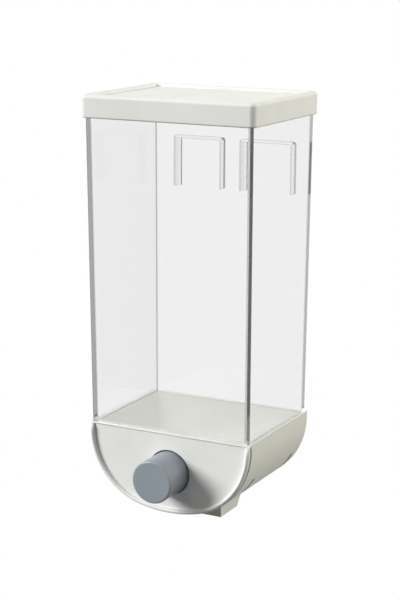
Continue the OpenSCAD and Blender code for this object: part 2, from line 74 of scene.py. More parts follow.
# %% [markdown]
# ## From a bmesh to a finished piece
# Each piece ends in the same few moves: put it in the frame, give it one material, shade it
# smooth except over sharp edges, and let it ride on the body that carries it. They could be
# written out for each piece, but with one helper no piece forgets a step.

# %% Finish a piece
FLAT_FACES_FIRST = 100


def object_from(name, shape):
    """A bmesh as a new object in the scene."""
    mesh = bpy.data.meshes.new(name)
    shape.to_mesh(mesh)
    shape.free()
    made = bpy.data.objects.new(name, mesh)
    bpy.context.scene.collection.objects.link(made)
    return made


def give_finish(piece, material, sharp):
    """One material all over, and smooth shading except over edges sharper than an angle."""
    piece.data.materials.append(material)
    piece.data.shade_smooth()
    piece.data.set_sharp_from_angle(angle=math.radians(sharp))
    print(piece.name, "faces", len(piece.data.polygons))


def finish_piece(name, shape, material, body, stands_for, sharp=40):
    """Turns a bmesh in millimetres into an object that rides on a CAD body."""
    bmesh.ops.transform(shape, matrix=TO_FRAME, verts=shape.verts)
    piece = object_from(name, shape)
    give_finish(piece, material, sharp)
    even = piece.modifiers.new("flat faces stay flat", "WEIGHTED_NORMAL")
    even.keep_sharp, even.weight = True, FLAT_FACES_FIRST
    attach(piece, body)
    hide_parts(*stands_for)
    return piece


# %% [markdown]
# ## Where a texture lies
# On the real object a texture is part of the surface and moves with it. So every texture
# here reads the object's own coordinates, in metres. Noise makes them all: it can be
# stretched into streaks, and a remap picks out the part of its range that should show.

# %% Coordinates, noise and ranges
def start_material(name):
    """A new material, its node tree, its shader and its object coordinates."""
    material = bpy.data.materials.new(name)
    material.use_nodes = True
    tree = material.node_tree
    place = tree.nodes.new("ShaderNodeTexCoord").outputs["Object"]
    return material, tree, tree.nodes["Principled BSDF"], place


def stretched(tree, place, scale, turn=(0, 0, 0)):
    """Object coordinates, stretched and turned."""
    mapping = tree.nodes.new("ShaderNodeMapping")
    mapping.inputs["Scale"].default_value = scale
    mapping.inputs["Rotation"].default_value = turn
    tree.links.new(place, mapping.inputs["Vector"])
    return mapping.outputs["Vector"]


def noise(tree, place, scale, detail=2.0):
    """A noise value from 0 to 1."""
    node = tree.nodes.new("ShaderNodeTexNoise")
    node.inputs["Scale"].default_value = scale
    node.inputs["Detail"].default_value = detail
    tree.links.new(place, node.inputs["Vector"])
    return node.outputs["Fac"]


def remap(tree, value, low, high, to_low, to_high):
    """A value brought from one range to another."""
    node = tree.nodes.new("ShaderNodeMapRange")
    for socket, number in zip(
        ("From Min", "From Max", "To Min", "To Max"), (low, high, to_low, to_high)
    ):
        node.inputs[socket].default_value = number
    tree.links.new(value, node.inputs["Value"])
    return node.outputs["Result"]


print("noise of scale 45 has patches of about", round(1 / 45 / MM), "mm")

# %% [markdown]
# ## Colours, sums and bumps
# A colour in the shader is linear light, while a colour that is read off a screen follows
# the screen's curve. Screen values are easier to read, so the script holds those, and one
# helper turns them into linear light. The other helpers wrap one node each, which keeps the
# materials below short.

# %% Colours, sums and bumps
def linear(red, green, blue):
    """A colour from its 0 to 255 screen values, by the usual screen curve."""
    return tuple(
        (c / 255 / 12.92) if c <= 10.31 else ((c / 255 + 0.055) / 1.055) ** 2.4
        for c in (red, green, blue)
    )


def blend_colours(tree, value, first, second):
    """A colour between two, by a value."""
    node = tree.nodes.new("ShaderNodeMix")
    node.data_type = "RGBA"
    node.inputs["A"].default_value = (*first, 1)
    node.inputs["B"].default_value = (*second, 1)
    tree.links.new(value, node.inputs["Factor"])
    return node.outputs["Result"]


def maths(tree, operation, *values):
    """A Math node. Each value is a number or comes from another node."""
    node = tree.nodes.new("ShaderNodeMath")
    node.operation = operation
    for socket, value in zip(node.inputs, values):
        if isinstance(value, bpy.types.NodeSocket):
            tree.links.new(value, socket)
        else:
            socket.default_value = value
    return node.outputs[0]


def bump(tree, height, distance, strength, under=None):
    """A normal that follows a height, on top of another one."""
    node = tree.nodes.new("ShaderNodeBump")
    node.inputs["Distance"].default_value = distance
    node.inputs["Strength"].default_value = strength
    tree.links.new(height, node.inputs["Height"])
    if under:
        tree.links.new(under, node.inputs["Normal"])
    return node.outputs["Normal"]


print("screen value 224 is", round(linear(224, 224, 224)[0], 3), "in linear light")

# %% [markdown]
# ## Plastic straight from the mould
# Satin moulded plastic isn't one flat colour. It has a very slight drift in shade from the
# way the melt flowed, a fine grain of the mould's spark-worn surface, and faint rubs where it
# is handled. A scanned texture could show this, but noise needs no file and suits any size:
# a broad one for the shade, a fine one for the grain in the bump, and a stretched one that
# raises the roughness in thin streaks.

# %% Moulded plastic
PLASTIC_IOR = 1.5
SHADE_SCALE, SHADE_RANGE, SHADE_DRIFT = 45, (0.35, 0.65), 0.03
MIDDLE, SATIN_SPREAD = (0.3, 0.7), 0.04
RUB_STRETCH, RUB_TURN, RUB_RANGE, RUB_ROUGHNESS = (
    (900, 900, 60), (0.3, 0.2, 0.4), (0.62, 0.72), 0.08
)
FLOW_SCALE, FLOW_HEIGHT, FLOW_STRENGTH = 30, 0.0004, 0.05
GRAIN_SCALE, GRAIN_HEIGHT = 2600, 0.00002


def finish_with(tree, shader, colour, roughness, normal):
    """Links the three things that vary over a surface."""
    tree.links.new(colour, shader.inputs["Base Color"])
    tree.links.new(roughness, shader.inputs["Roughness"])
    tree.links.new(normal, shader.inputs["Normal"])


def moulded_plastic(name, screen_colour, roughness, grain=0.12):
    """Satin moulded plastic of a colour given by its screen values."""
    material, tree, shader, place = start_material(name)
    broad = noise(tree, place, SHADE_SCALE, 3.0)
    darker, lighter = (
        [min(1, c * share) for c in linear(*screen_colour)]
        for share in (1 - SHADE_DRIFT, 1 + SHADE_DRIFT)
    )
    shade = remap(tree, broad, *SHADE_RANGE, 0, 1)
    streaks = noise(tree, stretched(tree, place, RUB_STRETCH, RUB_TURN), 1.0, 1.0)
    rubs = remap(tree, streaks, *RUB_RANGE, 0, RUB_ROUGHNESS)
    satin = remap(tree, broad, *MIDDLE, roughness - SATIN_SPREAD, roughness + SATIN_SPREAD)
    flow = bump(tree, noise(tree, place, FLOW_SCALE, 1.0), FLOW_HEIGHT, FLOW_STRENGTH)
    fine = bump(tree, noise(tree, place, GRAIN_SCALE, 1.0), GRAIN_HEIGHT, grain, under=flow)
    colour = blend_colours(tree, shade, darker, lighter)
    finish_with(tree, shader, colour, maths(tree, "ADD", rubs, satin), fine)
    shader.inputs["IOR"].default_value = PLASTIC_IOR
    print(name, "colour", screen_colour, "roughness", roughness)
    return material


lid_plastic = moulded_plastic("lid moulded plastic", (224, 225, 220), 0.6)
cover_plastic = moulded_plastic("cover moulded plastic", (237, 237, 234), 0.4)
shell_plastic = moulded_plastic("shell moulded plastic", (224, 225, 213), 0.45)
inner_plastic = moulded_plastic("inner moulded plastic", (219, 220, 214), 0.45)
knob_plastic = moulded_plastic("knob moulded plastic", (142, 151, 160), 0.3, grain=0.3)

# %% [markdown]
# ## Light that clear plastic lets through
# In a real clear bin most light passes the walls almost straight, and the rest is thrown
# back and forth inside them until it leaves at an edge. A renderer could follow all of it,
# but that is slow and full of noise, and where it gives up the plastic turns black. So light
# that is thrown back is dimmed at its first turn and let out at its second. Light between
# the lamps and the pieces inside goes straight through, and reaches the floor of the bin.

# %% Light that is let through
CLEAR_STRAIGHT, THROWN_BACK, NO_LIGHT = (0.96,) * 3, (0.6,) * 3, (0,) * 3
FIRST_TURN_LOSS = 0.25


def see_through(tree, colour):
    """Plastic that dims the light and doesn't bend it."""
    shader = tree.nodes.new("ShaderNodeBsdfTransparent")
    shader.inputs["Color"].default_value = (*colour, 1)
    return shader.outputs[0]


def either_shader(tree, choice, first, second):
    """The first shader where choice is 0, the second where it is 1."""
    node = tree.nodes.new("ShaderNodeMixShader")
    tree.links.new(choice, node.inputs[0])
    tree.links.new(first, node.inputs[1])
    tree.links.new(second, node.inputs[2])
    return node.outputs[0]


def let_out(tree, glass):
    """The glass, but open to soft light, to lamps and to light that was thrown back inside."""
    path = tree.nodes.new("ShaderNodeLightPath")
    turns = path.outputs["Glossy Depth"]
    once = remap(tree, turns, 0, 1, 0, FIRST_TURN_LOSS)
    twice = remap(tree, turns, 1, 2, 0, 1)
    dimmed = either_shader(tree, once, glass, see_through(tree, NO_LIGHT))
    inside = either_shader(tree, twice, dimmed, see_through(tree, THROWN_BACK))
    straight = see_through(tree, CLEAR_STRAIGHT)
    soft = either_shader(tree, path.outputs["Is Diffuse Ray"], inside, straight)
    return either_shader(tree, path.outputs["Is Shadow Ray"], soft, straight)


print("light through two walls, four faces:", round(CLEAR_STRAIGHT[0] ** 4, 2))

# %% [markdown]
# ## Where the bin's corners and its foot are
# The bin tapers: it is 1.25 mm narrower on each side at the bottom, and 1.75 mm front and
# back, so that it leaves its mould. At its four upright corners the wall is thickest and bends
# the light most, and the dark line that shows there is painted into the colour as a dark tint:
# painted shade. A separate mesh could carry that, but a mask from the coordinates leaves the
# wall whole: a point is in a corner where it is as far from the side as from the front or
# back. The foot at the bottom is matt from the mould, which a second mask shows.

# %% The bin's size, the painted shade of its corners, and its foot
BIN_H, BIN_TOP = 163.2, 171.2
TAPER, BIN_HALF = (1.25, 1.75), (48.15, 37.15)
FOOT_OUT, FOOT_H, FOOT_MATT, FOOT_FADE = 0.15, 2.0, 1.2, 0.3
# The painted corner shade is full within 0.4 mm of a corner and gone at 0.9 mm.
CORNER_CORE, CORNER_FADE = 0.4, 0.9


def split_place(tree, place):
    """The three coordinates, one by one."""
    split = tree.nodes.new("ShaderNodeSeparateXYZ")
    tree.links.new(place, split.inputs[0])
    return split.outputs


def painted_corner_shade_mask(tree, place):
    """Where the painted corner shade goes: 1 along the upright corners, fading to 0 within a
    millimetre.
    """
    along = split_place(tree, place)
    gaps = []
    for axis, centre, half, taper in zip("XY", (0, WALL_Y), BIN_HALF, TAPER):
        away = maths(tree, "ABSOLUTE", maths(tree, "ADD", along[axis], centre * MM))
        slope = taper / BIN_H
        side = maths(tree, "MULTIPLY", along["Z"], slope)
        start = (half - taper + HANG_Z * slope) * MM
        gaps.append(maths(tree, "SUBTRACT", maths(tree, "SUBTRACT", away, start), side))
    apart = maths(tree, "ABSOLUTE", maths(tree, "SUBTRACT", *gaps))
    return remap(tree, apart, CORNER_CORE * MM, CORNER_FADE * MM, 1, 0)


def in_foot(tree, place):
    """1 in the matt foot, 0 above it."""
    top = (FOOT_MATT - HANG_Z) * MM
    return remap(tree, split_place(tree, place)["Z"], top, top + FOOT_FADE * MM, 1, 0)


print("the bin's sides lean by", round(math.degrees(TAPER[0] / BIN_H), 2), "degrees")

# %% [markdown]
# ## Clear plastic
# The bin is clear styrene plastic, 2.4 mm thick. It is nearly invisible face on, but its
# edges are dark, because there the light runs a long way inside the wall. A thin see-through
# shell would miss that. Three things make it here: a mesh with a real wall that bends the
# light, a faint absorption inside it, which shows only over a long path, and a dark tint
# painted along the upright corners, which is painted shade. Hairline scratches and slow
# waves keep the polish from looking like perfect glass.

# %% The clear plastic
# CORNER_PAINTED_SHADE is painted shade: the dark colour laid along the upright corners.
CLEAR_TINT, CORNER_PAINTED_SHADE = (0.98, 0.98, 0.982), (0.36, 0.37, 0.36)
HAIRLINE_STRETCH, HAIRLINE_TURN, HAIRLINE_RANGE = (
    (700, 700, 25), (0.05, 0.08, 0.6), (0.66, 0.74)
)
POLISHED, SCRATCHED, MATT_MORE = 0.012, 0.05, 0.4
WAVE_SCALE, WAVE_HEIGHT, WAVE_STRENGTH = 22, 0.0006, 0.12
ABSORB_COLOUR, ABSORB_DENSITY = (0.5, 0.51, 0.51, 1), 22


def clear_plastic():
    material, tree, shader, place = start_material("clear polished plastic")
    # Painted shade: the colour turns dark grey along the upright corners, by the corner mask.
    tint_and_painted_shade = blend_colours(tree, painted_corner_shade_mask(tree, place), CLEAR_TINT, CORNER_PAINTED_SHADE)
    shader.inputs["Transmission Weight"].default_value = 1
    shader.inputs["IOR"].default_value = PLASTIC_IOR
    hairlines = noise(tree, stretched(tree, place, HAIRLINE_STRETCH, HAIRLINE_TURN), 1.0, 1.0)
    polish = remap(tree, hairlines, *HAIRLINE_RANGE, POLISHED, SCRATCHED)
    matt = maths(tree, "MULTIPLY", in_foot(tree, place), MATT_MORE)
    waves = bump(tree, noise(tree, place, WAVE_SCALE, 0.0), WAVE_HEIGHT, WAVE_STRENGTH)
    finish_with(tree, shader, tint_and_painted_shade, maths(tree, "ADD", polish, matt), waves)
    absorb = tree.nodes.new("ShaderNodeVolumeAbsorption")
    absorb.inputs["Color"].default_value = ABSORB_COLOUR
    absorb.inputs["Density"].default_value = ABSORB_DENSITY
    output = tree.nodes["Material Output"]
    tree.links.new(absorb.outputs["Volume"], output.inputs["Volume"])
    tree.links.new(let_out(tree, shader.outputs[0]), output.inputs["Surface"])
    return material


bin_plastic = clear_plastic()
print(bin_plastic.name, "nodes", len(bin_plastic.node_tree.nodes))

# %% [markdown]
# ## Steel and silicone
# The stem, pins, springs and screws are bright drawn steel: fine lines along their length, in
# the colour, the roughness and the bump. An anisotropic shader could do that too, but lines
# in the roughness survive the export. The two seals are translucent silicone, so they get a
# little scattering under the skin and a soft, cloudy finish.

# %% Steel and silicone
STEEL_DARK, STEEL_BRIGHT = (0.42, 0.43, 0.45), (0.62, 0.63, 0.65)
LINE_STRETCH, LINE_HEIGHT, LINE_ROUGHNESS = (3000, 150, 3000), 0.00001, (0.18, 0.38)
SILICONE_DARK, SILICONE_LIGHT = linear(214, 216, 213), linear(226, 227, 224)
CLOUD_SCALE, CLOUD_ROUGHNESS, SKIN_SCALE, SKIN_HEIGHT = 120, (0.5, 0.62), 1500, 0.00003
FINE_STRENGTH, SCATTERING, SCATTER_DEPTH = 0.3, 0.2, 0.002


def drawn_steel():
    material, tree, shader, place = start_material("drawn steel")
    shader.inputs["Metallic"].default_value = 1
    lines = noise(tree, stretched(tree, place, LINE_STRETCH), 1.0)
    finish_with(
        tree, shader, blend_colours(tree, lines, STEEL_DARK, STEEL_BRIGHT),
        remap(tree, lines, *MIDDLE, *LINE_ROUGHNESS),
        bump(tree, lines, LINE_HEIGHT, FINE_STRENGTH),
    )
    return material


def soft_silicone():
    material, tree, shader, place = start_material("soft silicone")
    clouds = noise(tree, place, CLOUD_SCALE)
    finish_with(
        tree, shader, blend_colours(tree, clouds, SILICONE_DARK, SILICONE_LIGHT),
        remap(tree, clouds, *MIDDLE, *CLOUD_ROUGHNESS),
        bump(tree, noise(tree, place, SKIN_SCALE), SKIN_HEIGHT, FINE_STRENGTH),
    )
    shader.inputs["Subsurface Weight"].default_value = SCATTERING
    shader.inputs["Subsurface Scale"].default_value = SCATTER_DEPTH
    return material


steel = drawn_steel()
silicone = soft_silicone()
print("materials", len(bpy.data.materials))

# %% [markdown]
# ## Rings: the shape behind lid, bin and seal
# The lid, the bin and the seal are all rounded rectangles that change in size as they go up.
# They could be cubes with loop cuts and bevels, but then every round would need its own
# bevel. Here each is a stack of rounded rectangles, bridged one to the next. A grid of one
# square gives the corners, a vertex bevel rounds them, and only the edges stay.

# %% Rounded rings
def ring(shape, half_x, half_y, radius, height, steps=7):
    """A rounded rectangle of edges at a height, in millimetres."""
    before = set(shape.edges)
    corners = bmesh.ops.create_grid(shape, x_segments=1, y_segments=1, size=1)["verts"]
    bmesh.ops.scale(shape, vec=(half_x, half_y, 1), verts=corners)
    bmesh.ops.translate(shape, vec=(0, 0, height), verts=corners)
    bmesh.ops.bevel(
        shape, geom=corners, offset=radius, offset_type="OFFSET", segments=steps,
        profile=0.5, affect="VERTICES", material=-1,
    )
    edges = [e for e in shape.edges if e not in before]
    faces = list({f for e in edges for f in e.link_faces})
    bmesh.ops.delete(shape, geom=faces, context="FACES_ONLY")
    return edges


trial = bmesh.new()
print("edges in a ring", len(ring(trial, 10, 5, 1, 0)))
trial.free()

# %% [markdown]
# ## Joining the rings
# Bridging makes the skin between two rings. Two rings in one plane would be matched at
# random, so one is moved off while they join, and then moved back. A section is a list of
# points, and where two of its sides meet, a quarter round takes the place of the corner, as
# in any mould.

# %% Bridges and quarter rounds
UPWARD, REARWARD = (0, 0, 7.3), (0, 7.3, 0)
MERGE = 0.0005


def bridge_all(shape, rings, apart=UPWARD, closed=False):
    """Bridges each ring to the next one, and the last to the first if closed."""
    pairs = list(zip(rings, rings[1:]))
    if closed:
        pairs.append((rings[-1], rings[0]))
    for first, second in pairs:
        verts = list({v for e in second for v in e.verts})
        bmesh.ops.translate(shape, vec=apart, verts=verts)
        bmesh.ops.bridge_loops(shape, edges=first + second)
        bmesh.ops.translate(shape, vec=-Vector(apart), verts=verts)


def outward(shape):
    """Merges doubles and turns all faces outwards."""
    bmesh.ops.remove_doubles(shape, verts=shape.verts, dist=MERGE)
    bmesh.ops.recalc_face_normals(shape, faces=shape.faces)


def fillet(corner, back, on, steps=4):
    """A quarter round in place of a sharp corner: it starts at back and ends at on, which
    are both measured from the corner."""
    corner, back, on = Vector(corner), Vector(back), Vector(on)
    turns = (i * math.pi / 2 / steps for i in range(steps + 1))
    return [tuple(corner + back + on - on * math.cos(a) - back * math.sin(a)) for a in turns]


print("points in a quarter round", len(fillet((0, 0), (0, -2), (2, 0))))

# %% [markdown]
# ## The lid
# The lid is a shallow tray upside down: a soft rim all round, a recess that is 1.6 mm deep
# inside the rim, a skirt that hides the bin's edge, and a plug wall below that drops inside
# the bin and carries the seal. Its section could be swept round with a curve, but rings keep
# the corners' radius under control. Each point is a distance in from the outside, or out
# from a wall, and a height; each becomes one ring.

# %% Lid section
LID_HALF, SKIRT, PLUG = (50.0, 39.0), (48.51, 37.54), (45.32, 34.33)
LID_BOTTOM, LID_UNDER, LID_TOP = 163.2, 171.5, 175.4
LID_CORNER, LEAST_CORNER, CORNER_SHRINK, UNDER_CORNER = 3.0, 1.2, 0.55, 1.6
RIM_WIDTH, RECESS = 4.5, 1.6
PLUG_WALL, PLUG_BOTTOM = 1.5, 165.7
GROOVE_LOW, GROOVE_HIGH, GROOVE_DEEP = 167.3, 169.3, 0.7

LID_OUTSIDE = (
    fillet((0, LID_BOTTOM), (0.9, 0), (0, 0.9))
    + fillet((0, LID_TOP), (0, -2.0), (2.0, 0), 7)
    + fillet((RIM_WIDTH, LID_TOP), (-0.6, 0), (0, -0.6))
    + fillet((RIM_WIDTH, LID_TOP - RECESS), (0, 0.4), (0.4, 0))
)
LID_INSIDE = (
    (SKIRT, 0.25, LID_BOTTOM), (SKIRT, 0, LID_BOTTOM + 0.25),
    (SKIRT, 0, LID_UNDER - 0.3), (SKIRT, -0.3, LID_UNDER),
    (PLUG, 0.25, LID_UNDER), (PLUG, 0, LID_UNDER - 0.25),
    (PLUG, 0, GROOVE_HIGH), (PLUG, -GROOVE_DEEP, GROOVE_HIGH),
    (PLUG, -GROOVE_DEEP, GROOVE_LOW), (PLUG, 0, GROOVE_LOW),
    (PLUG, 0, PLUG_BOTTOM + 0.3), (PLUG, -0.3, PLUG_BOTTOM),
    (PLUG, 0.3 - PLUG_WALL, PLUG_BOTTOM), (PLUG, -PLUG_WALL, PLUG_BOTTOM + 0.3),
    (PLUG, -PLUG_WALL, LID_UNDER - 0.5), (PLUG, -PLUG_WALL - 0.5, LID_UNDER),
)
print("points in the lid's section", len(LID_OUTSIDE) + len(LID_INSIDE))

# %% [markdown]
# ## From the section to the lid
# The rings run from the middle of the lid's top, over the rim and down the outside, and then
# under the skirt to the middle underneath. The two innermost ones are filled with one face
# each, so that the lid is one closed skin, as one moulding is.

# %% Lid
def lid():
    shape = bmesh.new()
    rings = []
    for inset, height in reversed(LID_OUTSIDE):
        radius = max(LID_CORNER - inset * CORNER_SHRINK, LEAST_CORNER)
        rings.append(ring(shape, LID_HALF[0] - inset, LID_HALF[1] - inset, radius, height))
    for half, out, height in LID_INSIDE:
        rings.append(ring(shape, half[0] + out, half[1] + out, UNDER_CORNER, height))
    bridge_all(shape, rings)
    for cap in (rings[0], rings[-1]):
        bmesh.ops.edgeloop_fill(shape, edges=cap)
    outward(shape)
    finish_piece("lid_moulding", shape, lid_plastic, "lid", ["lid"])


lid()

# %% [markdown]
# ## The lid's seal
# A silicone ring sits in the groove of the plug wall. Its outer face has two soft lips that
# would press on the bin. A plain band would do for the looks from outside, but the lips show
# when the lid is off, so the section has them.

# %% Lid seal
SEAL_OUT, SEAL_IN = (45.56, 34.56), (44.62, 33.63)
SEAL_LOW, SEAL_HIGH = 167.35, 169.25
LIPS = ((0.35, 0), (0.08, 0.2), (0, 0.45), (0.1, 0.7), (0.3, 0.95))


def lid_seal():
    shape = bmesh.new()
    heights = [(inset, SEAL_LOW + up) for inset, up in LIPS]
    heights += [(inset, SEAL_HIGH - up) for inset, up in reversed(LIPS[:-1])]
    rings = [
        ring(shape, SEAL_OUT[0] - i, SEAL_OUT[1] - i, UNDER_CORNER, z) for i, z in heights
    ]
    rings += [ring(shape, *SEAL_IN, UNDER_CORNER, z) for z in (SEAL_HIGH, SEAL_LOW)]
    bridge_all(shape, rings, closed=True)
    outward(shape)
    finish_piece("lid_seal_ring", shape, silicone, "lid", ["lid_seal"])


lid_seal()

# %% [markdown]
# ## The clear bin
# The bin's corners are round outside and inside, its top edge is soft, and a low foot runs
# round its bottom. The wall could come from a Solidify modifier, but the inside has smaller
# corners than the outside. So the wall is one closed loop of rings, and the light bends at
# both of its faces.

# %% Bin wall
BIN_WALL, BIN_CORNER, BIN_CORNER_IN, CORNER_STEPS = 2.4, 1.6, 0.8, 9

# Each ring: the height where its size is taken, how far it is set in, its corner, its height.
BIN_SECTION = (
    (0, -FOOT_OUT, BIN_CORNER, 0),
    (0, -FOOT_OUT, BIN_CORNER, FOOT_H - 0.6),
    (0, -FOOT_OUT / 2, BIN_CORNER, FOOT_H - 0.2),
    (FOOT_H + 0.4, 0, BIN_CORNER, FOOT_H + 0.4),
    (BIN_TOP - 0.5, 0, BIN_CORNER, BIN_TOP - 0.5),
    (BIN_TOP, 0.15, BIN_CORNER, BIN_TOP - 0.15),
    (BIN_TOP, 0.5, 1.4, BIN_TOP),
    (BIN_TOP, BIN_WALL - 0.5, 0.9, BIN_TOP),
    (BIN_TOP, BIN_WALL - 0.15, BIN_CORNER_IN, BIN_TOP - 0.15),
    (BIN_TOP - 0.5, BIN_WALL, BIN_CORNER_IN, BIN_TOP - 0.5),
    (0, BIN_WALL, BIN_CORNER_IN, 0),
)


def bin_shape():
    shape = bmesh.new()
    rings = []
    for level, inset, radius, height in BIN_SECTION:
        half_x, half_y = (
            half - taper * (1 - level / BIN_H) - inset for half, taper in zip(BIN_HALF, TAPER)
        )
        rings.append(ring(shape, half_x, half_y, radius, height, CORNER_STEPS))
    bridge_all(shape, rings, closed=True)
    outward(shape)
    return shape


print("rings in the bin's wall", len(BIN_SECTION))

# %% [markdown]
# ## The hanging sockets
# Two upside-down U shapes stand on the back of the bin. Each has two legs and a top bar, and
# lips that turn in, behind which a wall hook is caught. Three boxes would leave seams where
# they meet, so each U is drawn as one face and extruded. Then its top corners and the ends
# of its legs are rounded.

# %% Blocks, soft edges and the upside-down U
SOCKET_X, SOCKET_W, SOCKET_TOP, SOCKET_H = 5.3, 30.0, 147.4, 28.2
SOCKET_WALL, LIP_WIDTH, LIP_T = 1.4, 3.0, 1.2
LEG_END_ROUND, TOP_CORNER_ROUND, SAME_HEIGHT, DEEP = 0.5, 1.3, 0.01, 0.5


def block(shape, x, y, z):
    """A box between two x, two y and two z values."""
    verts = bmesh.ops.create_cube(shape, size=1)["verts"]
    bmesh.ops.scale(shape, vec=[high - low for low, high in (x, y, z)], verts=verts)
    bmesh.ops.translate(shape, vec=[(low + high) / 2 for low, high in (x, y, z)], verts=verts)
    return verts


def soft_edges(shape, edges, radius, steps=3):
    """Rounds the given edges."""
    bmesh.ops.bevel(
        shape, geom=edges, offset=radius, offset_type="OFFSET", segments=steps,
        profile=0.5, affect="EDGES", material=-1, clamp_overlap=True,
    )


def upside_down_u(shape, side, leg, front, back):
    """A U, open at the bottom, drawn as one face and given its depth."""
    left, right = SOCKET_X, SOCKET_X + SOCKET_W
    low, high = SOCKET_TOP - SOCKET_H, SOCKET_TOP
    outline = [
        (left, low), (left, high), (right, high), (right, low),
        (right - leg, low), (right - leg, high - SOCKET_WALL),
        (left + leg, high - SOCKET_WALL), (left + leg, low),
    ]
    start = [shape.verts.new((side * x, front, z)) for x, z in outline]
    grown = bmesh.ops.extrude_face_region(shape, geom=[shape.faces.new(start)])["geom"]
    moved = [v for v in grown if isinstance(v, bmesh.types.BMVert)]
    bmesh.ops.translate(shape, vec=(0, back - front, 0), verts=moved)
    every = set(start + moved)
    along = [
        e for e in shape.edges
        if set(e.verts) <= every and abs(e.verts[0].co.y - e.verts[1].co.y) > DEEP
    ]
    ends, top_corners = (
        [e for e in along if abs(e.verts[0].co.z - z) < SAME_HEIGHT] for z in (low, high)
    )
    soft_edges(shape, ends, LEG_END_ROUND)
    soft_edges(shape, [e for e in top_corners if e.is_valid], TOP_CORNER_ROUND, 5)


print("socket, inside its legs, mm:", round(SOCKET_W - 2 * SOCKET_WALL, 1))

# %% [markdown]
# ## The tongue and its barbs
# Below the bin, a thin tongue reaches into the base along three of its sides, and four small
# barbs on it snap into the shell. The base hides them, so they could be left out, but then
# nothing would hold the bin once the pieces are looked at one by one. Plain blocks do for
# walls this thin.

# %% Sockets and tongue
TONGUE_OUT, TONGUE_IN = (45.55, 34.05), (44.55, 33.05)
TONGUE_FRONT, TONGUE_Z = -31, (-4.8, 0.6)
BARB_Y, BARB_LENGTH, BARB_Z, BARB_ROOT, BARB_TIP = 15.0, 10.0, (-4.6, -3.4), 0.2, 0.6
INTO_WALL, OFF_THE_LIPS = 1, 0.01


def joined_to_bin(shape):
    """All that is moulded onto the bin's wall."""
    out_x, back = TONGUE_OUT
    for side in (-1, 1):
        upside_down_u(shape, side, SOCKET_WALL, BIN_HALF[1] - INTO_WALL, WALL_Y - OFF_THE_LIPS)
        upside_down_u(shape, side, LIP_WIDTH, WALL_Y - LIP_T, WALL_Y)
        flank = sorted((side * TONGUE_IN[0], side * out_x))
        block(shape, flank, (TONGUE_FRONT, back), TONGUE_Z)
        barb = sorted((side * (out_x - BARB_ROOT), side * (out_x + BARB_TIP)))
        for y in (-BARB_Y, BARB_Y):
            block(shape, barb, (y - BARB_LENGTH / 2, y + BARB_LENGTH / 2), BARB_Z)
    block(shape, (-out_x, out_x), (TONGUE_IN[1], back), TONGUE_Z)
    bmesh.ops.recalc_face_normals(shape, faces=shape.faces)


print("the tongue reaches", -TONGUE_Z[0], "mm into the base")

# %% [markdown]
# ## One moulding, one skin
# The sockets and the tongue are one moulding with the bin. Shapes that merely overlap would
# show their inner walls through the clear plastic. A boolean union joins them, and no wall
# is left inside. The same helper cuts and adds to other pieces further on.

# %% Union and cut
def combined(first, second, operation):
    """A new bmesh: first joined with, or cut by, second. Both are used up."""
    body, tool = object_from("first", first), object_from("second", second)
    step = body.modifiers.new("combine", "BOOLEAN")
    step.operation, step.object, step.solver, step.use_self = operation, tool, "EXACT", True
    ready = body.evaluated_get(bpy.context.evaluated_depsgraph_get())
    result = bmesh.new()
    result.from_mesh(ready.to_mesh())
    ready.to_mesh_clear()
    for scratch in (body, tool):
        mesh = scratch.data
        bpy.data.objects.remove(scratch)
        bpy.data.meshes.remove(mesh)
    bmesh.ops.remove_doubles(result, verts=result.verts, dist=MERGE)
    return result


def clear_bin():
    parts = bmesh.new()
    joined_to_bin(parts)
    shape = combined(bin_shape(), parts, "UNION")
    print("open edges in the bin", len([e for e in shape.edges if not e.is_manifold]))
    finish_piece("bin_clear", shape, bin_plastic, "bin", ["bin_box"], 35)


clear_bin()

# %% [markdown]
# ## The D outline of the base
# Seen from the front, the base is a D lying on its back: a flat top, short upright sides, a
# large round on each side and a flatter one underneath, all tangent. A curve could trace it,
# but three exact arcs keep it tangent at every size. One vertex is spun round the three
# centres in turn, and each spin leaves its arc of edges behind.

# %% D outline
BASE_HALF, BASE_H, BASE_SIDE, BASE_BACK = 47.7, 44.0, 3.5, 36.2
BELLY_R = 75.0
BELLY_Z = BELLY_R - BASE_H
CURVE_H = BASE_H - BASE_SIDE
SIDE_R = (BELLY_R**2 - BASE_HALF**2 - (CURVE_H - BELLY_R) ** 2) / (2 * (BELLY_R - BASE_HALF))
SIDE_X = BASE_HALF - SIDE_R
SWEEP = math.atan2(BELLY_Z + BASE_SIDE, SIDE_X)
SIDE_STEPS, BELLY_STEPS = 20, 8
print("side radius", round(SIDE_R, 2), "sweep", round(math.degrees(SWEEP), 1))


def d_ring(shape, inset, y, top):
    """The D outline as a closed ring of edges, set in from the outside of the base."""
    before = set(shape.edges)
    corner = shape.verts.new((BASE_HALF - inset, y, top))
    last = shape.verts.new((BASE_HALF - inset, y, -BASE_SIDE))
    shape.edges.new((corner, last))
    turns = (
        (SIDE_X, -BASE_SIDE, SWEEP, SIDE_STEPS),
        (0, BELLY_Z, math.pi - 2 * SWEEP, BELLY_STEPS),
        (-SIDE_X, -BASE_SIDE, SWEEP, SIDE_STEPS),
    )
    for x, z, angle, steps in turns:
        spun = bmesh.ops.spin(
            shape, geom=[last], cent=(x, y, z), axis=(0, 1, 0), dvec=(0, 0, 0),
            angle=angle, steps=steps, use_duplicate=False,
        )["geom_last"]
        last = next(v for v in spun if isinstance(v, bmesh.types.BMVert))
    far = shape.verts.new((inset - BASE_HALF, y, top))
    shape.edges.new((last, far))
    shape.edges.new((far, corner))
    return [e for e in shape.edges if e not in before]


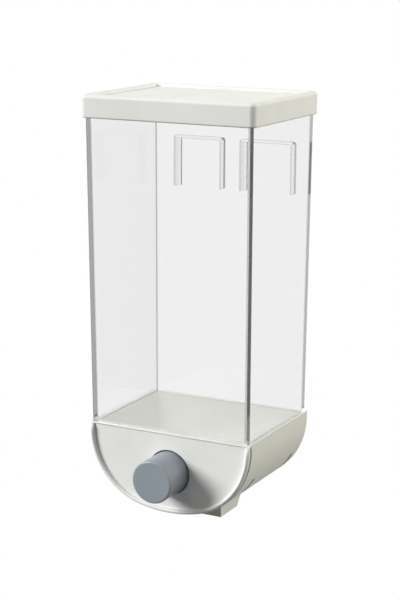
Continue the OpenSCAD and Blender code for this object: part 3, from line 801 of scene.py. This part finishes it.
# %% [markdown]
# ## The front cover
# The cover has a raised rim with a soft edge, and a face that lies 2.2 mm deeper, with a
# round hole for the knob. Along the top the rim is thinner and lower. Behind, a plug lip
# holds it in the shell; it is set in by 3.2 mm, so the gap round the cover is dark. The face
# could be cut out of a block, but a section of D rings gives all the rounds at once.

# %% Cover section
COVER_FRONT, COVER_FACE, COVER_BACK, RIM_BACK = -37.2, -35.0, -33.0, -34.9
COVER_RIM, TOP_RIM, TOP_DEPTH = 2.4, 0.5, 0.2
COVER_PLUG, PLUG_TOP = 3.2, -0.05
KNOB_Z, HOLE_R, HOLE_ROUND = -21.8, 12.1, 0.4

COVER_SECTION = (
    [(0.2, RIM_BACK), (0, RIM_BACK - 0.2)]
    + fillet((0, COVER_FRONT), (0, 1.8), (1.25, 0), 7)
    + fillet((COVER_RIM, COVER_FRONT), (-1.1, 0), (0, 1.1), 6)
    + fillet((COVER_RIM, COVER_FACE), (0, -0.35), (0.35, 0), 3)
)
print("points in the cover's section", len(COVER_SECTION))

# %% [markdown]
# ## From the section to the cover
# Each point becomes one D ring. A flat D with a boolean hole would do for the face, but its
# edge would be sharp. So the hole is a stack of circles with a soft edge. The rings are
# squeezed along the top, and the face and the back are filled between a D ring and a circle.

# %% Front cover
def round_ring(shape, radius, y, z, steps=72):
    """A circle of edges round an axis that runs front to back."""
    before = set(shape.edges)
    bmesh.ops.create_circle(
        shape, cap_ends=False, segments=steps, radius=radius,
        matrix=Matrix.Translation((0, y, z)) @ Matrix.Rotation(math.pi / 2, 4, "X"),
    )
    return [e for e in shape.edges if e not in before]


def front_cover():
    shape = bmesh.new()
    rings = [d_ring(shape, COVER_PLUG, y, PLUG_TOP) for y in (COVER_BACK, RIM_BACK)]
    rings += [d_ring(shape, inset, y, -inset * TOP_RIM) for inset, y in COVER_SECTION]
    top = [v for v in shape.verts if v.co.z > -BASE_SIDE + 0.1 and v.co.y < COVER_FACE]
    from_face = Matrix.Translation((0, -COVER_FACE, 0))
    bmesh.ops.scale(shape, vec=(1, TOP_DEPTH, 1), space=from_face, verts=top)
    bridge_all(shape, rings, apart=REARWARD)
    hole = fillet((HOLE_R, COVER_FACE), (HOLE_ROUND, 0), (0, HOLE_ROUND))
    circles = [round_ring(shape, r, y, KNOB_Z) for r, y in hole + [(HOLE_R, COVER_BACK)]]
    bridge_all(shape, circles, apart=REARWARD)
    for outer, inner, facing in ((rings[-1], circles[0], -1), (rings[0], circles[-1], 1)):
        bmesh.ops.triangle_fill(
            shape, use_beauty=True, use_dissolve=False, edges=outer + inner,
            normal=(0, facing, 0),
        )
    outward(shape)
    finish_piece(
        "front_cover_moulding", shape, cover_plastic, "bin", ["front_cover"]
    )


front_cover()

# %% [markdown]
# ## The knob
# The knob is a turned shape: a cup with a soft front edge, hollow behind, with a boss for
# the stem. A cylinder with bevels would come close, but not hollow. Its half section is
# drawn once and spun a full turn, as on a lathe.

# %% Knob
KNOB_R, KNOB_FRONT, KNOB_BACK = 11.5, -53.9, -32.6
KNOB_FACE, KNOB_ROUND, BRIM_ROUND, KNOB_STEPS = 8.3, 1, 0.3, 96
CUP_R, CUP_FLOOR = KNOB_R - 2.0, KNOB_FRONT + 2.5
BOSS_R, BOSS_END = 5.5, KNOB_BACK - 2.4
BORE_R, BORE_END = 3.05, KNOB_FRONT + 4.1

KNOB_SECTION = (
    [(0, KNOB_FRONT), (KNOB_FACE, KNOB_FRONT)]
    + fillet((KNOB_R, KNOB_FRONT), (-KNOB_ROUND, 0), (0, KNOB_ROUND), 6)
    + fillet((KNOB_R, KNOB_BACK), (0, -BRIM_ROUND), (-BRIM_ROUND, 0), 2)
    + [(CUP_R, KNOB_BACK), (CUP_R, CUP_FLOOR), (BOSS_R, CUP_FLOOR), (BOSS_R, BOSS_END)]
    + [(BORE_R, BOSS_END), (BORE_R, BORE_END), (0, BORE_END)]
)


def push_knob():
    shape = bmesh.new()
    verts = [shape.verts.new((radius, y, KNOB_Z)) for radius, y in KNOB_SECTION]
    edges = [shape.edges.new(pair) for pair in zip(verts, verts[1:])]
    bmesh.ops.spin(
        shape, geom=verts + edges, cent=(0, 0, KNOB_Z), axis=(0, 1, 0), dvec=(0, 0, 0),
        angle=math.tau, steps=KNOB_STEPS, use_merge=True, use_duplicate=False,
    )
    outward(shape)
    finish_piece(
        "knob_moulding", shape, knob_plastic, "knob_and_gate", ["push_knob"]
    )


push_knob()

# %% [markdown]
# ## Mouldings that keep the CAD's own shape
# The shell, the funnel, the tray, the gate and the spout have many slots, bores and ribs
# that the CAD already cuts where they belong. Modelling them again would only add errors. A
# copy of each is merged into clean flat faces, and a bevel modifier gives it the small
# rounds that every moulded edge has.

# %% Soften a CAD moulding
CAD_MERGE, FLAT_ANGLE, SHARP_ANGLE, SOFT_STEPS = 0.002 * MM, 0.6, 35, 2


def softened(node, name, material, body, radius, cutter=None, extra=None):
    """A merged copy of a CAD node, cut or added to, with its sharp edges rounded."""
    shape = bmesh.new()
    shape.from_mesh(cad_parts[node].data)
    bmesh.ops.remove_doubles(shape, verts=shape.verts, dist=CAD_MERGE)
    for other, operation in ((cutter, "DIFFERENCE"), (extra, "UNION")):
        if other:
            bmesh.ops.transform(shape, matrix=TO_FRAME.inverted(), verts=shape.verts)
            shape = combined(shape, other, operation)
            bmesh.ops.transform(shape, matrix=TO_FRAME, verts=shape.verts)
    bmesh.ops.dissolve_limit(
        shape, angle_limit=math.radians(FLAT_ANGLE), verts=shape.verts, edges=shape.edges
    )
    piece = object_from(name, shape)
    give_finish(piece, material, SHARP_ANGLE)
    bevel = piece.modifiers.new("soft edges", "BEVEL")
    bevel.width, bevel.segments = radius * MM, SOFT_STEPS
    bevel.limit_method, bevel.angle_limit = "ANGLE", math.radians(SHARP_ANGLE)
    bevel.use_clamp_overlap, bevel.harden_normals = True, True
    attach(piece, body)
    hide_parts(node)


print("faces of the CAD's shell", len(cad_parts["base_shell"].data.polygons))

# %% [markdown]
# ## Slits and gaps that read as dark lines
# On the real base, two slits on each side catch the ribs of the tray, and a thin gap runs
# round behind the cover. Both show as clear dark lines. In the CAD they are so narrow, and
# the ribs so close behind them, that they nearly vanish. They could be painted on, but a
# true slot is right from every side and stays in the exported mesh. So the slits and the gap
# are opened a little, and the ribs are cut short behind them.

# %% Slits, gap and ribs
RIB_DEPTH, BAND_TOP, PAST_SHELL = 4.5, 3.0, -1
SLIT_X, SLIT_Y, SLIT_Z, SLIT_HALF = (24.0, 49.0), (-19.3, 28.2), (-33.0, -23.3), 1.35
SHELL_FRONT = -33.1
GAP_BLOCK = ((-60, 60), (-36, SHELL_FRONT), (-60, 6))


def slit_room():
    """A D-shaped band just inside the shell, which shortens the tray's ribs there."""
    shape = bmesh.new()
    corners = (
        (PAST_SHELL, COVER_BACK), (PAST_SHELL, BASE_BACK),
        (RIB_DEPTH, BASE_BACK), (RIB_DEPTH, COVER_BACK),
    )
    rings = [d_ring(shape, inset, y, BAND_TOP) for inset, y in corners]
    bridge_all(shape, rings, apart=REARWARD, closed=True)
    outward(shape)
    return shape


def slit_openings():
    """Blocks that open the four slits, and the gap behind the cover, a little wider."""
    shape = bmesh.new()
    block(shape, *GAP_BLOCK)
    for side in (-1, 1):
        for y in SLIT_Y:
            ends = sorted(side * x for x in SLIT_X)
            block(shape, ends, (y - SLIT_HALF, y + SLIT_HALF), SLIT_Z)
    bmesh.ops.recalc_face_normals(shape, faces=shape.faces)
    return shape


print("slits", 2 * SLIT_HALF, "mm wide,", SLIT_Z[1] - SLIT_Z[0], "mm high")

# %% [markdown]
# ## The spout's sloping back
# Behind its mouth the spout leans back up to the shell, so its side looks like a wedge. A
# shear of the whole spout would move its mouth too. So a block is added behind it, whose
# lower rear edge is moved forward, and a D-shaped prism cuts it off where the shell begins.

# %% Sloping back of the spout
SPOUT_HALF, SPOUT_BACK, SPOUT_LOW = 25.7, -5.0, -45.8
CHUTE_TOP, CHUTE_BACK, CHUTE_ROOT = -38.5, 5.2, 1
SHELL_SKIN, PRISM_Y = 0.3, (SPOUT_BACK - 6, SPOUT_BACK + 12)


def sloping_back():
    """A wedge behind the spout, cut off where the round shell begins."""
    wedge = bmesh.new()
    corners = block(
        wedge, (-SPOUT_HALF, SPOUT_HALF), (SPOUT_BACK - CHUTE_ROOT, SPOUT_BACK + CHUTE_BACK),
        (SPOUT_LOW, CHUTE_TOP),
    )
    low_rear = [v for v in corners if v.co.y > SPOUT_BACK and v.co.z < SPOUT_LOW + 0.1]
    bmesh.ops.translate(wedge, vec=(0, -CHUTE_BACK, 0), verts=low_rear)
    bmesh.ops.recalc_face_normals(wedge, faces=wedge.faces)
    shell = bmesh.new()
    ends = [d_ring(shell, SHELL_SKIN, y, 0) for y in PRISM_Y]
    bridge_all(shell, ends, apart=REARWARD)
    for end in ends:
        bmesh.ops.edgeloop_fill(shell, edges=end)
    outward(shell)
    return combined(wedge, shell, "DIFFERENCE")


LEAN = math.atan2(CHUTE_BACK, CHUTE_TOP - SPOUT_LOW)
print("the spout's back leans by", round(math.degrees(LEAN)), "degrees")

# %% [markdown]
# ## The five softened mouldings
# A moulding's edges are never sharp, and a fine round catches the light. One radius for all
# would be simpler, but the tray's thin ribs need less and the funnel's open edges more.

# %% Softened mouldings
softened(
    "base_shell", "shell_moulding", shell_plastic, "bin", 0.35,
    cutter=slit_openings(),
)
softened("funnel", "funnel_moulding", inner_plastic, "bin", 0.4)
softened(
    "drawer_tray", "tray_moulding", inner_plastic, "bin", 0.25,
    cutter=slit_room(),
)
softened(
    "outlet_spout", "spout_moulding", shell_plastic, "bin", 0.35,
    extra=sloping_back(),
)
softened("slide_gate", "gate_moulding", inner_plastic, "knob_and_gate", 0.3)

# %% [markdown]
# ## Metal pieces and the throat seal
# The stem, the pins and the screws are small turned pieces that the CAD already draws in
# full, and so is the flat seal under the funnel. New meshes would add nothing to them. They
# keep their CAD meshes and only get their finish.

# %% Finish of the CAD nodes that stay
STEEL_NODES = (
    "push_stem", "stem_pin", "spring_pins", "tray_screws", "spout_screws", "base_screws"
)

for node in (*STEEL_NODES, "throat_seal"):
    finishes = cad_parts[node].data.materials
    finishes.clear()
    finishes.append(steel if node in STEEL_NODES else silicone)
    print(node, "is", finishes[0].name)

# %% [markdown]
# ## Return springs
# Two compression springs push the gate and knob back out. A screw modifier could wind them,
# but a spin that also moves along its axis does it in one step: it takes a circle of wire
# round the spring's axis and leaves a helix.

# %% Springs
SPRING_X, SPRING_Z, SPRING_R, WIRE_R = 16.0, -22.25, 2.8, 0.4
SPRING_START, SPRING_END, CURLS = -0.3, 26.75, 9
WIRE_SIDES, CURL_STEPS = 10, 28


def spring(name, side, node):
    shape = bmesh.new()
    x = side * SPRING_X
    circle = bmesh.ops.create_circle(
        shape, cap_ends=True, segments=WIRE_SIDES, radius=WIRE_R,
        matrix=Matrix.Translation((x + SPRING_R, SPRING_START, SPRING_Z)),
    )["verts"]
    steps = CURLS * CURL_STEPS
    bmesh.ops.spin(
        shape, geom=list({f for v in circle for f in v.link_faces}), cent=(x, 0, SPRING_Z),
        axis=(0, 1, 0), dvec=(0, (SPRING_END - SPRING_START) / steps, 0),
        angle=math.tau * CURLS, steps=steps, use_duplicate=False,
    )
    outward(shape)
    piece = finish_piece(name, shape, steel, "bin", [node])
    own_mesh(piece)


spring("spring_wire_left", -1, "return_spring_left")
spring("spring_wire_right", 1, "return_spring_right")

# %% [markdown]
# ## The studio's surroundings
# The bin hangs in a white studio. For the camera, and for what gloss and clear plastic show,
# the surroundings are white. For the light on the object they are bright above and dark
# below, as in a room. A photographed room could light it too, but plain grey shading by
# height is even, and needs no picture.

# %% World
HORIZON, ZENITH, SKY_LIGHT = -0.2, 0.9, 0.15
WHITE = (1, 1, 1, 1)


def seen_directly(tree):
    """1 for what the camera sees, also in gloss and through clear plastic, and 0 otherwise."""
    path = tree.nodes.new("ShaderNodeLightPath")
    seen = path.outputs["Is Camera Ray"]
    for way in ("Is Glossy Ray", "Is Transmission Ray"):
        seen = maths(tree, "MAXIMUM", seen, path.outputs[way])
    return seen


def studio_world():
    world = bpy.data.worlds.new("studio")
    bpy.context.scene.world = world
    world.use_nodes = True
    tree = world.node_tree
    lighting = tree.nodes["Background"]
    direction = tree.nodes.new("ShaderNodeTexCoord").outputs["Generated"]
    upward = split_place(tree, direction)["Z"]
    sky = remap(tree, upward, HORIZON, ZENITH, 0.0, SKY_LIGHT)
    tree.links.new(sky, lighting.inputs["Strength"])
    lighting.inputs["Color"].default_value = WHITE
    white = tree.nodes.new("ShaderNodeBackground")
    white.inputs["Color"].default_value = WHITE
    shown = either_shader(tree, seen_directly(tree), lighting.outputs[0], white.outputs[0])
    tree.links.new(shown, tree.nodes["World Output"].inputs["Surface"])


studio_world()
print("light from straight above", SKY_LIGHT, "from below", 0)

# %% [markdown]
# ## The floor
# A pale floor lies well below the bin. It could be lit white by the lamps, but then it would
# throw light up at the object. So it glows only where it is seen, a little less under the
# bin, where the shadow stays on it. A renderer would take a glowing floor for a lamp and
# aim light paths at it, which only adds noise, so that is switched off.

# %% Floor
FLOOR_Z, FLOOR_HALF = -0.62, 4
FLOOR_LIT, FLOOR_SEEN, FLOOR_ROUGHNESS = (0.1,) * 3, (0.75,) * 3, 0.9
SHADOW_NEAR, SHADOW_FAR, LEAST_GLOW = 0.45, 0.8, 0.5


def pale_floor():
    shape = bmesh.new()
    bmesh.ops.create_grid(shape, x_segments=1, y_segments=1, size=FLOOR_HALF)
    bmesh.ops.translate(shape, vec=(0, 0, FLOOR_Z), verts=shape.verts)
    floor = object_from("floor", shape)
    material, tree, shader, place = start_material("pale floor")
    material.cycles.emission_sampling = "NONE"
    seen = seen_directly(tree)
    tree.links.new(blend_colours(tree, seen, FLOOR_LIT, FLOOR_SEEN), shader.inputs["Base Color"])
    shader.inputs["Roughness"].default_value = FLOOR_ROUGHNESS
    away = tree.nodes.new("ShaderNodeVectorMath")
    away.operation = "LENGTH"
    tree.links.new(stretched(tree, place, (1, 1, 0)), away.inputs[0])
    far = remap(tree, away.outputs["Value"], SHADOW_NEAR, SHADOW_FAR, LEAST_GLOW, 1)
    glow = tree.nodes.new("ShaderNodeEmission")
    share = maths(tree, "MULTIPLY", seen, far)
    shown = either_shader(tree, share, shader.outputs[0], glow.outputs[0])
    tree.links.new(shown, tree.nodes["Material Output"].inputs["Surface"])
    floor.data.materials.append(material)


pale_floor()
print("the floor is", round(-FLOOR_Z - HANG_Z * MM - BASE_H * MM, 2), "m below the base")

# %% [markdown]
# ## Lamps
# A large soft key lamp stands in front, to the left and above. It lights the lid and the
# cover and drops the knob's shadow to the lower right. A small lamp above lifts the lid a
# little. One behind lights the funnel through the clear wall; it is hidden from gloss and
# clear plastic, which would show it as a bright square. A weak, slightly warm one on the
# right lifts the side of the lid and the shell. Sun lamps would need fewer numbers, but
# their shadows are hard.

# %% Lamps
WHITE_LIGHT, WARM_LIGHT = (1, 1, 1), (1, 0.98, 0.91)


def soft_lamp(name, at, towards, size, power, colour=WHITE_LIGHT):
    data = bpy.data.lights.new(name, "AREA")
    data.shape, data.size, data.energy, data.color = "SQUARE", size, power, colour
    lamp = bpy.data.objects.new(name, data)
    bpy.context.scene.collection.objects.link(lamp)
    lamp.location = at
    lamp.rotation_mode = "QUATERNION"
    lamp.rotation_quaternion = (Vector(towards) - Vector(at)).to_track_quat("-Z", "Y")
    lamp.visible_camera = False
    print(name, "lamp", power, "W, at", round(Vector(at).length, 2), "m")
    return lamp


soft_lamp("key", (-1.84, -1.6, 1.06), (0, -0.04, -0.1), 1.2, 88)
soft_lamp("top", (-0.1, -0.45, 1.0), (0, -0.06, -0.1), 0.4, 1.8)
behind = soft_lamp("back", (0.4, 0.95, 0.5), (0, -0.04, -0.12), 0.5, 4.5)
behind.visible_glossy = behind.visible_transmission = False
soft_lamp("right", (0.7, 0.1, 0.27), (0, -0.04, -0.05), 0.3, 3.9, WARM_LIGHT)

# %% [markdown]
# ## The camera
# The camera's place, turn and lens were fitted to the lid, bin and base outlines in the
# photograph. A Track To constraint would aim it, but not with the slight roll that the photo
# has. So its three axes are worked out from yaw, pitch and roll.

# %% Camera
YAW, PITCH, ROLL = (math.radians(a) for a in (27.699, 12.794, 0.195))
CAMERA_AT = (0.38660, -0.77768, 0.10752)
FOCAL_PIXELS, IMAGE_HEIGHT, SENSOR = 1592.82, 600, 36.0


def photo_camera():
    forward = Vector((
        -math.sin(YAW) * math.cos(PITCH), math.cos(YAW) * math.cos(PITCH), -math.sin(PITCH)
    ))
    right = Vector((math.cos(YAW), math.sin(YAW), 0))
    up = right.cross(forward)
    rolled = right * math.cos(ROLL) + up * math.sin(ROLL)
    raised = up * math.cos(ROLL) - right * math.sin(ROLL)
    turn = Matrix((rolled, raised, -forward)).transposed().to_4x4()
    data = bpy.data.cameras.new("camera")
    data.sensor_fit, data.sensor_height = "VERTICAL", SENSOR
    data.lens = FOCAL_PIXELS * SENSOR / IMAGE_HEIGHT
    camera = bpy.data.objects.new("camera", data)
    bpy.context.scene.collection.objects.link(camera)
    camera.matrix_world = Matrix.Translation(CAMERA_AT) @ turn
    bpy.context.scene.camera = camera
    print("lens", round(data.lens, 2), "mm")


photo_camera()
bpy.context.scene.view_settings.view_transform = "Standard"
